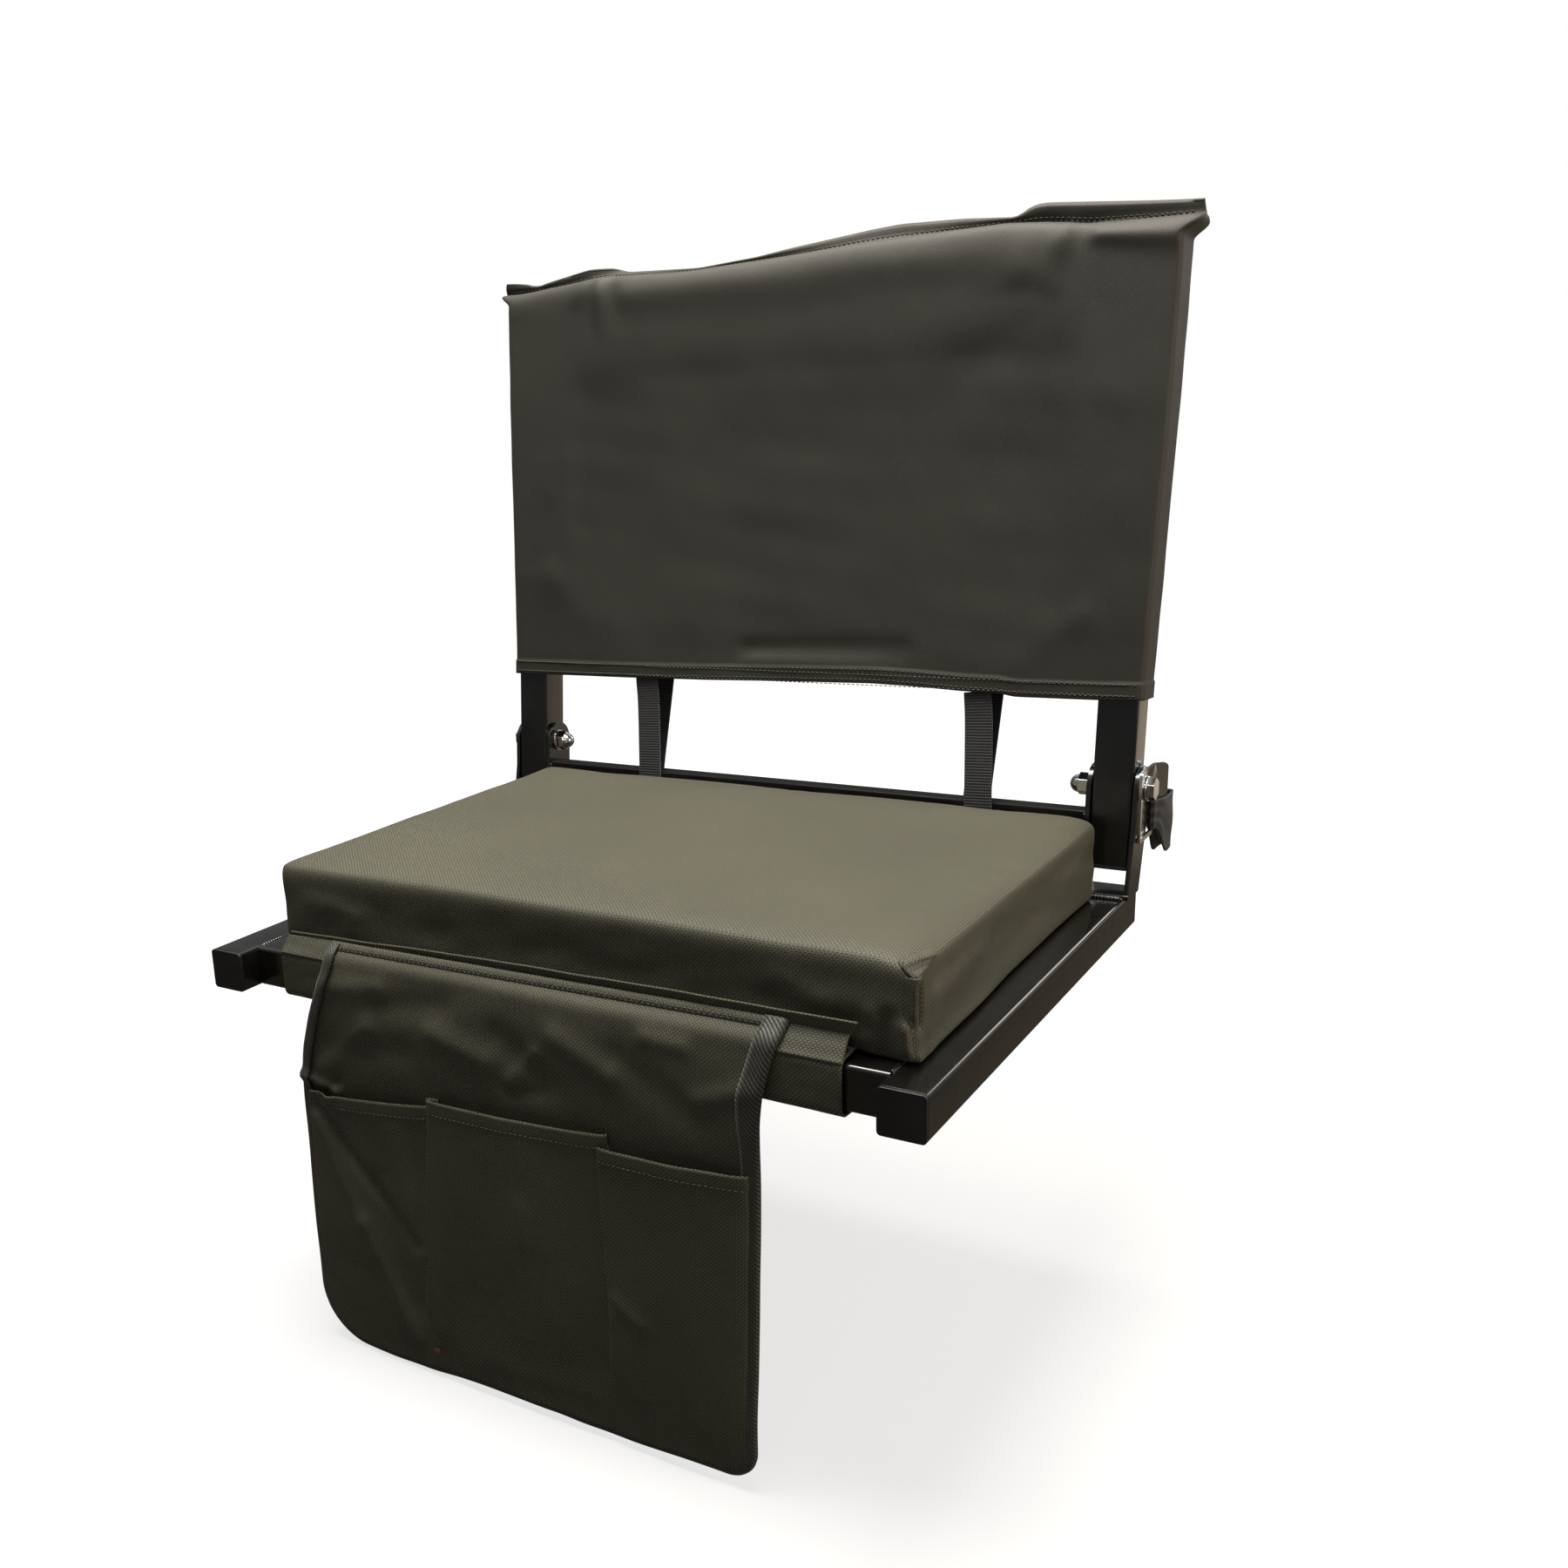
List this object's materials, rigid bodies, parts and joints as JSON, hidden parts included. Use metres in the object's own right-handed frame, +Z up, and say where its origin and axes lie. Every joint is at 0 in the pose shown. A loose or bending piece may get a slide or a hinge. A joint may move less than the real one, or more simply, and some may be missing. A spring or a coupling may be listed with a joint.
{
  "type": "folding stadium seat",
  "caption": "Portable bleacher seat: square-tube frame, padded cushion, folding covered back and a hanging pocket panel.",
  "frame": {"origin": "on the bench top, midway between the side rails, level with their front ends", "axes": "+X towards the right rail as seen by someone facing the seat, +Y to the back, +Z up"},
  "size_m": [0.508, 0.4143, 0.676],
  "materials": {
    "black_enamel": "gloss black enamel on steel tube and plate",
    "chrome": "bright chrome plate",
    "black_plastic": "black moulded plastic",
    "woven_cover": "coarse dark olive-black woven polyester",
    "webbing": "dark grey-black woven webbing"
  },
  "bodies": {
    "seat_frame": {"left_side_rail": "black_enamel", "left_front_end_cap": "black_plastic", "left_rear_end_cap": "black_plastic", "left_hinge_bracket": "black_enamel", "left_cap_nut": "chrome", "left_nut_washer": "chrome", "left_head_washer": "chrome", "left_pivot_bolt": "chrome", "left_cover_strap": "webbing", "right_side_rail": "black_enamel", "right_front_end_cap": "black_plastic", "right_rear_end_cap": "black_plastic", "right_hinge_bracket": "black_enamel", "right_cap_nut": "chrome", "right_nut_washer": "chrome", "right_head_washer": "chrome", "right_pivot_bolt": "chrome", "right_cover_strap": "webbing", "front_cross_tube": "black_enamel", "rear_cross_tube": "black_enamel", "rear_strap_bar": "black_enamel", "seat_deck": "woven_cover", "seat_cushion": "woven_cover", "pocket_panel_flap": "woven_cover"},
    "back_frame": {"left_upright": "black_enamel", "right_upright": "black_enamel", "left_upright_plug": "black_plastic", "right_upright_plug": "black_plastic", "top_tube": "black_enamel", "back_cover": "woven_cover"},
    "pocket_panel_body": {"pocket_panel": "woven_cover", "panel_binding": "webbing", "left_pocket": "woven_cover", "middle_pocket": "woven_cover", "right_pocket": "woven_cover"},
    "strap_hanger": {"right_strap_plate": "chrome", "strap_loop": "webbing"}
  },
  "joints": [
    {"name": "back_fold", "type": "hinge", "parent": "seat_frame", "child": "back_frame", "pos_m": [0, 0.3517, 0.093], "axis": [1, 0, 0], "range_deg": [0, 90], "deforming": ["left_cover_strap", "right_cover_strap"]},
    {"name": "panel_swing", "type": "hinge", "parent": "seat_frame", "child": "pocket_panel_body", "pos_m": [0, 0.01195, 0.0271], "axis": [-1, 0, 0], "range_deg": [0, 150]},
    {"name": "strap_plate_turn", "type": "hinge", "parent": "seat_frame", "child": "strap_hanger", "pos_m": [0.2426, 0.3517, 0.093], "axis": [1, 0, 0], "range_deg": [0, 70]}
  ]
}
